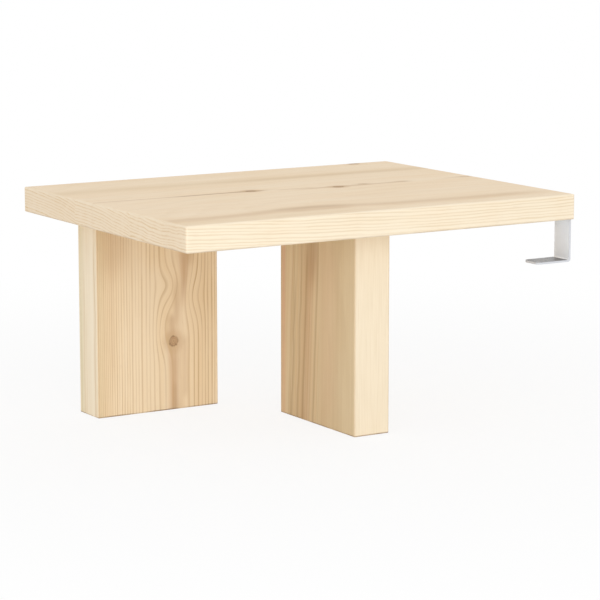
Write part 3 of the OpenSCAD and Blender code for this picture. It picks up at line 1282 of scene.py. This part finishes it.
@dataclass
class Top:
    """The table's top: three staves side by side, each with its heart streak along its middle."""

    size: Size = Size(500.0, 385.0, 29.0)
    corner: Place = (-0.25, 0.1925, 0.231)
    tones: PineTones = PineTones()

    def stave(self, name: str, **features: object) -> PineBoard:
        """One stave with its rings, stains, knots and seed, measured from the top's free back corner."""
        return PineBoard(name=name, lie=Lie.FLAT, corner=self.corner, size=self.size,
                         tones=self.tones, low_edge_shade=0.3, **features)

    def flat_rings(self, pith_across: float, pith_depth: float) -> Rings:
        """Rings that lie flat under the face, round this pith."""
        return Rings(pith_across, pith_depth, 0.30, waver=4.0, ripple=1.2, bow=0.00008,
                     bow_along=380.0, contrast=0.75, face_fade=0.8)

    def back_stave(self) -> PineBoard:
        """The back stave, with a broad tan heart."""
        return self.stave(
            "pine_top_back", seed=1.0,
            rings=self.flat_rings(0.0, -660.0),
            knots=(Knot(447.0, 7.0, 5.0, 1.5, 0.7, 0.25),),
            stains={Course.GRAIN: (
                Stain(83.0, 16.0, Tone.TAN, 0.42),
                Stain(88.0, 9.0, Tone.BROWN, 0.2, start=260.0, end=440.0, fade=90.0, sway=5.0))})

    def middle_stave(self) -> PineBoard:
        """The middle stave, with a thin dark heart line and its row of pin knots."""
        return self.stave(
            "pine_top_middle", seed=2.0,
            rings=self.flat_rings(128.0, -690.0),
            knots=(Knot(202.0, 172.0, 4.8, 1.2, 1.0, 0.6), Knot(308.0, 190.0, 5.0, 1.2, 1.0, 0.55),
                   Knot(346.0, 183.0, 3.6, 1.7, 0.3, 0.3), Knot(400.0, 186.0, 3.0, 1.8, 0.15, 0.25),
                   Knot(488.0, 186.0, 4.0, 1.5, 0.15, 0.15)),
            stains={Course.GRAIN: (
                Stain(173.0, 2.6, Tone.BROWN, 0.5, end=205.0, fade=40.0, sway=4.0),
                Stain(173.0, 3.0, Tone.UMBER, 0.55, start=125.0, end=196.0, fade=35.0, sway=3.0),
                Stain(180.0, 2.6, Tone.BROWN, 0.45, start=242.0, end=272.0, fade=16.0, sway=4.0),
                Stain(188.0, 3.4, Tone.BROWN, 0.6, start=275.0, end=385.0, fade=32.0, sway=9.0),
                Stain(186.0, 3.0, Tone.BROWN, 0.26, start=468.0, end=520.0, fade=20.0))})

    def front_stave(self) -> PineBoard:
        """The front stave, laid heart up, with a soft brown streak that humps backwards."""
        return self.stave(
            "pine_top_front", seed=3.0,
            rings=Rings(345.0, 830.0, 0.28, waver=6.0, ripple=2.4, ripple_pitch=0.026,
                        bow=0.00009, bow_along=390.0, contrast=1.75, late_share=0.62,
                        year_tone=0.12, face_fade=0.9, end_gain=-0.7),
            stains={Course.GRAIN: (
                Stain(346.0, 13.0, Tone.BROWN, 0.42, end=430.0, fade=90.0, sway=5.0,
                      hump=-20.0, hump_along=185.0, hump_reach=75.0),
                Stain(326.0, 9.0, Tone.UMBER, 0.26, start=170.0, end=200.0, fade=50.0),
                Stain(343.0, 9.0, Tone.BROWN, 0.38, start=165.0, end=208.0, fade=35.0, sway=3.0),
                Stain(370.0, 12.0, Tone.TAN, 0.2, end=160.0, fade=120.0),
                # Painted light: this cream wash covers the front face, which looks to the front lamp.
                Stain(386.0, 4.0, Tone.CREAM, 0.52))})

    def dress(self) -> None:
        """Dresses the three staves."""
        dress("top_back_stave", self.back_stave())
        dress("top_middle_stave", self.middle_stave())
        dress("top_front_stave", self.front_stave())


@dataclass
class LeftLeg:
    """The leg at the free end, one plank with its pith inside and a knot in its wide face."""

    size: Size = Size(231.0, 158.0, 46.0)
    corner: Place = (-0.208, 0.0945, 0.231)
    tones: PineTones = PineTones(
        early=colour(253, 235, 206), warm=colour(245, 222, 186), late=colour(216, 186, 142))

    def plank(self) -> PineBoard:
        """The plank: rings that widen inwards, swirls above the knot and the streaks through it."""
        return PineBoard(
            "pine_left_leg", Lie.UPRIGHT_ALONG_TOP, self.corner, self.size,
            tones=self.tones, arris=0.0, seed=4.0,
            rings=Rings(111.0, 22.0, 0.1436, 8.57e-6, late_share=0.55, waver=2.5, ripple=0.5,
                        contrast=1.3, uneven=1.0, year_tone=0.4, start=0.55),
            swells=(Swell(84.0, 95.0, 20.0, 14.0, push=11.0),
                    Swell(134.0, 90.0, 26.0, 14.0, push=-9.0),
                    Swell(100.0, 124.0, 26.0, 13.0, push=-8.0),
                    Swell(115.0, 158.0, 5000.0, 36.0, push=-15.0)),
            knots=(Knot(150.0, 99.0, 5.8, 1.05, 0.85, 0.5, 0.5),
                   Knot(-8.0, 116.0, 7.0, 1.6, 1.0, 0.5, 0.7)),
            stains={Course.GRAIN: self.grain_stains(), Course.EDGE: self.edge_stains(),
                    Course.THROUGH: self.thin_face_stains()})

    def grain_stains(self) -> tuple[Stain, ...]:
        """Stains that follow the grain of the wide faces."""
        return (
            Stain(101.5, 8.0, Tone.BROWN, 0.55, start=166.0, fade=26.0, sway=2.0),
            Stain(99.0, 5.0, Tone.RUST, 0.3, start=180.0, fade=25.0, sway=3.0),
            Stain(102.0, 3.0, Tone.UMBER, 0.28, start=208.0, fade=14.0, sway=3.0),
            # These two streaks are the plank's dark streak; near the top they also stand in for painted
            # shade under the top.
            Stain(117.0, 6.5, Tone.RUST, 0.42, start=-20.0, end=70.0, fade=50.0, sway=3.0),
            Stain(118.0, 10.0, Tone.BROWN, 0.4, start=-20.0, end=55.0, fade=60.0, sway=3.0),
            Stain(42.0, 18.0, Tone.PALE, 0.3),
            Stain(72.0, 15.0, Tone.PALE, 0.4, start=75.0),
            # Painted shade: this broad brown patch darkens the wide face's upper corner by the thin
            # face, under the top.
            Stain(20.0, 25.0, Tone.BROWN, 0.42, end=40.0, fade=48.0, sway=3.0),
            Stain(20.0, 2.5, Tone.BROWN, 0.22, end=160.0, fade=60.0, sway=3.0),
            Stain(150.0, 12.0, Tone.TAN, 0.15, start=0.0, sway=3.0),
            Stain(4.0, 13.0, Tone.TAN, 0.45, sway=3.0),
            Stain(3.0, 6.0, Tone.OLIVE, 0.2, sway=2.0),
            Stain(112.0, 7.0, Tone.BROWN, 0.14, sway=3.0),
        )

    def edge_stains(self) -> tuple[Stain, ...]:
        """Stains that run straight down the wide faces, a pale wash over the left thin face and a brown
        line just inside its arris.
        """
        return (
            Stain(120.0, 7.0, Tone.BROWN, 0.5, end=50.0, fade=18.0, sway=2.0),
            Stain(103.0, 4.6, Tone.BROWN, 0.5, start=98.0, end=108.0, fade=32.0, sway=7.0),
            Stain(97.0, 6.5, Tone.BROWN, 0.6, start=125.0, end=141.0, fade=12.0, sway=2.0),
            Stain(112.0, 3.8, Tone.BROWN, 0.3, start=74.0, end=88.0, fade=34.0),
            Stain(114.5, 3.6, Tone.BROWN, 0.3, start=152.0, end=210.0, fade=12.0, sway=2.0),
            Stain(89.0, 3.2, Tone.PALE, 0.4, start=160.0, fade=12.0, sway=1.0),
            # Painted light: this pale wash covers the left thin face, which looks towards the light.
            Stain(0.0, 0.6, Tone.PALE, 0.85, sway=0.0),
            Stain(1.4, 0.8, Tone.BROWN, 0.5, sway=0.0),
        )

    def thin_face_stains(self) -> tuple[Stain, ...]:
        """Stains at places through the thickness, which show on the thin faces."""
        return (
            Stain(37.5, 5.5, Tone.OLIVE, 0.3, sway=5.0),
            Stain(41.5, 1.3, Tone.OLIVE, 0.35),
            Stain(27.0, 1.2, Tone.TAN, 0.3, sway=8.0),
            Stain(40.0, 1.8, Tone.OLIVE, 0.45, start=120.0, fade=40.0, sway=3.0),
            Stain(32.0, 1.8, Tone.TAN, 0.4, start=90.0, fade=40.0, sway=4.0),
            Stain(27.5, 1.8, Tone.PALE, 0.7, end=90.0, fade=50.0, sway=3.0),
            Stain(11.5, 5.0, Tone.PALE, 0.95, sway=3.0),
            Stain(5.5, 3.0, Tone.TAN, 0.3),
            Stain(6.0, 0.9, Tone.BROWN, 0.5, start=55.0, fade=40.0, sway=9.0),
        )

    def dress(self) -> None:
        """Dresses the plank."""
        dress("left_leg", self.plank())


@dataclass
class RightLeg:
    """The leg near the bed, two staves edge to edge: a streaked back one and a plain front one."""

    size: Size = Size(231.0, 158.0, 46.0)
    corner: Place = (-0.011, 0.0175, 0.231)
    # Darker tones than the left leg's: partly the staves' own wood, partly painted shade for the shade
    # under the top.
    tones: PineTones = PineTones(
        early=colour(229, 210, 175), warm=colour(219, 196, 158), late=colour(187, 157, 116))

    def stave(self, name: str, **features: object) -> PineBoard:
        """One stave with its rings, stains and seed, measured from the leg's back upper corner."""
        return PineBoard(name=name, lie=Lie.UPRIGHT_ACROSS_TOP, corner=self.corner, size=self.size,
                         tones=self.tones, arris_tone=Tone.BROWN, **features)

    def back_stave(self) -> PineBoard:
        """The back stave, with wide leaning streaks and a reddish heart."""
        return self.stave(
            "pine_right_leg_back", seed=5.0, lean=0.06,
            rings=Rings(-160.0, 60.0, 0.21, late_share=0.6, waver=4.0, ripple=1.6, contrast=0.45,
                        uneven=1.5, year_tone=0.7),
            stains={
                Course.EDGE: (
                    Stain(8.0, 4.0, Tone.PINK, 0.7, sway=1.0),
                    Stain(2.4, 1.4, Tone.BROWN, 0.6, sway=0.5)),
                Course.GRAIN: (
                    Stain(22.0, 5.0, Tone.TAN, 0.5, sway=4.0),
                    Stain(31.0, 2.0, Tone.BROWN, 0.4, end=120.0, fade=50.0, sway=8.0),
                    Stain(27.0, 3.0, Tone.PALE, 0.15),
                    Stain(38.0, 1.6, Tone.UMBER, 0.5, start=110.0, fade=60.0, sway=8.0),
                    Stain(44.0, 2.6, Tone.TAN, 0.5, start=40.0, fade=50.0, sway=8.0),
                    Stain(50.0, 1.8, Tone.UMBER, 0.45, sway=8.0),
                    Stain(56.0, 1.8, Tone.TAN, 0.45, start=90.0, fade=50.0, sway=8.0),
                    Stain(56.0, 8.0, Tone.BROWN, 0.3, sway=4.0),
                    Stain(62.0, 2.6, Tone.UMBER, 0.55, start=60.0, fade=50.0),
                    Stain(71.0, 8.0, Tone.RUST, 0.35, start=60.0, fade=60.0, sway=3.0),
                    Stain(73.0, 12.0, Tone.UMBER, 0.50, start=0.0, end=45.0, fade=50.0, sway=2.0),
                    Stain(79.0, 1.4, Tone.TAN, 0.6, start=75.0, fade=40.0, sway=5.0),
                    Stain(84.5, 1.5, Tone.UMBER, 0.45, sway=4.0),
                    Stain(89.0, 1.8, Tone.TAN, 0.5, start=60.0, fade=50.0, sway=3.0))})

    def front_stave(self) -> PineBoard:
        """The front stave, cut so that its rings lie flat in its wide face."""
        return self.stave(
            "pine_right_leg_front", seed=6.0,
            rings=Rings(120.0, -260.0, 0.12, late_share=0.6, contrast=0.15),
            stains={
                Course.GRAIN: (
                    Stain(92.0, 9.0, Tone.BROWN, 0.3, sway=3.0),
                    Stain(106.0, 14.0, Tone.PINK, 0.18, start=50.0, end=190.0, fade=50.0, sway=4.0)),
                # Painted light: this pale wash covers the front thin face, which looks to the front
                # lamp, while the wide face lies in shade.
                Course.EDGE: (Stain(158.0, 1.0, Tone.PALE, 0.8, sway=0.0),)})

    def dress(self) -> None:
        """Dresses the two staves."""
        dress("right_leg_back_stave", self.back_stave())
        dress("right_leg_front_stave", self.front_stave())


@dataclass
class LegFittings:
    """What holds the legs to the top: beech dowels, steel bolts and zinc cam nuts."""

    beech: Beech = Beech("bare_beech")
    steel: Metal = Metal(
        "bright_steel", colour(214, 214, 210), colour(190, 190, 184), 1.0, 0.28, (1.0, 1.0, 9.0))
    zinc: Metal = Metal(
        "zinc_casting", colour(200, 202, 204), colour(172, 175, 178), 1.0, 0.42, (4.0, 4.0, 4.0),
        relief=0.00004)

    joint_z: float = 231.0
    left_y: float = 123.5
    right_x: float = 18.0
    left_dowels_x: Range = (-191.0, -67.0)
    left_bolts_x: Range = (-169.0, -89.0)
    right_dowels_y: Range = (0.5, -123.5)
    right_bolts_y: Range = (-21.5, -101.5)
    dowel: Turned = Turned(
        outline=((-26.0, 0.0, 0), (-26.0, 3.0, 3), (-25.0, 4.0, 2), (13.0, 4.0, 8), (14.0, 3.0, 2),
                 (14.0, 0.0, 3)),
        around=144, flutes=24, flute_depth=0.3)
    bolt: Turned = Turned(
        outline=((-31.1, 0.0, 0), (-31.1, 2.4, 2), (-30.9, 3.0, 1), (-30.5, 3.4, 1), (-30.0, 3.5, 1),
                 (-29.1, 3.5, 1), (-28.8, 3.35, 1), (-28.6, 3.0, 1), (-28.6, 2.25, 1),
                 (-26.3, 2.25, 2), (-26.0, 2.5, 1), (-26.0, 3.1, 1), (-25.6, 3.5, 1),
                 (-0.4, 3.5, 6), (0.0, 3.1, 1), (0.0, 3.0, 1), (8.0, 3.0, 64), (10.6, 1.05, 26),
                 (11.0, 0.0, 2)),
        thread=Thread(0.0, 11.0, 2.6, 0.85))

    def places(self, along_x: Range, along_y: Range) -> list[Place]:
        """Places on the joint: these X in the left leg's line, and these Y in the right leg's."""
        left = [(x, self.left_y, self.joint_z) for x in along_x]
        return left + [(self.right_x, y, self.joint_z) for y in along_y]

    def dress(self) -> None:
        """Makes the fluted dowels and the threaded bolts, and dresses the cam nuts."""
        self.dowel.stand("fluted_dowels", "leg_dowels", "beech_dowel",
                         self.places(self.left_dowels_x, self.right_dowels_y), self.beech)
        self.bolt.stand("threaded_bolts", "cam_bolts", "bright_steel",
                        self.places(self.left_bolts_x, self.right_bolts_y), self.steel)
        dress("cam_nuts", self.zinc)


@dataclass
class RailHook:
    """The bent strip that holds the bed's side rail, and its screws."""

    # The strip's coat, with painted shade on the upper face of its foot.
    coat: Metal = ShadedFootCoat(
        "grey_coat", colour(248, 252, 255), colour(243, 247, 253), 0.0, 0.4, (2.0, 2.0, 2.0),
        relief=0.00003, shine=0.3)
    steel: Metal = Metal(
        "screw_steel", colour(206, 206, 202), colour(182, 182, 178), 1.0, 0.3, (3.0, 3.0, 6.0))

    screw_places: tuple[Place, ...] = ((234.0, -172.5, 231.0), (217.0, -172.5, 231.0),
                                       (200.0, -172.5, 231.0))
    screw: Turned = Turned(
        outline=((0.0, 0.0, 0), (0.0, 3.6, 36), (0.12, 3.75, 1), (1.75, 2.0, 4), (2.4, 2.0, 2),
                 (14.0, 2.0, 96), (17.7, 0.4, 30), (18.0, 0.0, 2)),
        around=96, thread=Thread(4.5, 18.0, 1.8, 0.6), recess=Cross(4.5, 0.98, 1.2))

    def dress(self) -> None:
        """Dresses the strip and makes its screws."""
        dress("rail_hook", self.coat)
        self.screw.stand("threaded_screws", "hook_screws", "bright_steel", self.screw_places,
                         self.steel)


@dataclass
class Studio:
    """Camera, lamps, world and the plain pale floor."""

    camera_place: Place = (-1.4920, -2.4357, 0.6198)
    heading_deg: float = 31.572
    pitch_deg: float = 9.667
    focal_px: float = 2526.6
    frame_px: float = 600.0
    sensor_mm: float = 36.0
    ambient: float = 0.75
    lamp_target: Place = (0.0, 0.0, 0.13)
    floor_half: float = 4.0
    floor_level: float = -0.0004
    floor_paint: FloorPaint = FloorPaint("pale_floor")

    def aim(self, name: str, data: bpy.types.ID, place: Place, look: Vector) -> bpy.types.Object:
        """Puts a camera or a lamp at a place.

        Args:
            name: its name.
            data: the camera or the lamp.
            place: its place, in metres.
            look: the direction in which it looks.

        Returns:
            The object.
        """
        made = linked(name, data)
        made.location = place
        made.rotation_euler = look.to_track_quat("-Z", "Y").to_euler()
        return made

    def camera(self) -> None:
        """Sets the camera at the photograph's viewing angle."""
        data = bpy.data.cameras.new("camera")
        data.sensor_width = self.sensor_mm
        data.lens = self.focal_px / self.frame_px * self.sensor_mm
        heading = math.radians(self.heading_deg)
        pitch = math.radians(self.pitch_deg)
        look = Vector((math.sin(heading) * math.cos(pitch), math.cos(heading) * math.cos(pitch),
                       -math.sin(pitch)))
        bpy.context.scene.camera = self.aim("camera", data, self.camera_place, look)

    def lamp(self, name: str, place: Place, size: float, watts: float) -> None:
        """Adds a square soft lamp that looks at the table.

        Args:
            name: the lamp's name.
            place: where it hangs, in metres.
            size: length of its side, in metres.
            watts: its power.
        """
        data = bpy.data.lights.new(name, "AREA")
        data.size = size
        data.energy = watts
        self.aim(name, data, place, Vector(self.lamp_target) - Vector(place))

    def world(self) -> None:
        """Makes the world: plain white to the eye, and a softer ambient light."""
        made = bpy.data.worlds.new("studio")
        graph = blank(made)
        light, shown = (graph.add("ShaderNodeBackground", Color=WHITE, Strength=strength)
                        for strength in (self.ambient, 1.0))
        graph.add("ShaderNodeOutputWorld", Surface=graph.mixed(graph.seen(), light, shown).outputs[0])
        bpy.context.scene.world = made

    def floor(self) -> None:
        """Lays the pale floor."""
        half, level = self.floor_half, self.floor_level
        corners = [(-half, -half, level), (half, -half, level), (half, half, level),
                   (-half, half, level)]
        mesh = bpy.data.meshes.new("floor")
        mesh.from_pydata(corners, [], [(0, 1, 2, 3)])
        mesh.materials.append(self.floor_paint.material())
        linked("floor", mesh)

    def build(self) -> None:
        """Sets the camera, the lamps, the world and the floor."""
        bpy.context.scene.view_settings.view_transform = "Standard"
        self.camera()
        self.world()
        self.lamp("front_key", (-1.0, -2.5, 0.8), 1.6, 17.2)
        self.lamp("high_fill", (-1.2, -1.8, 2.0), 1.6, 4.6)
        self.lamp("left_fill", (-2.4, -0.9, 0.5), 1.4, 2.5)
        self.lamp("back_fill", (1.9, 2.0, 1.5), 1.8, 5.0)
        self.floor()
        LOG.info("built the studio")


def main() -> None:
    """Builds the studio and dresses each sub-assembly in order."""
    logging.basicConfig(level=logging.INFO, format="%(name)s: %(message)s")
    Studio().build()
    for part in (Top(), LeftLeg(), RightLeg(), LegFittings(), RailHook()):
        part.dress()
        LOG.info("finished %s", type(part).__name__)


if __name__ == "__main__":
    main()
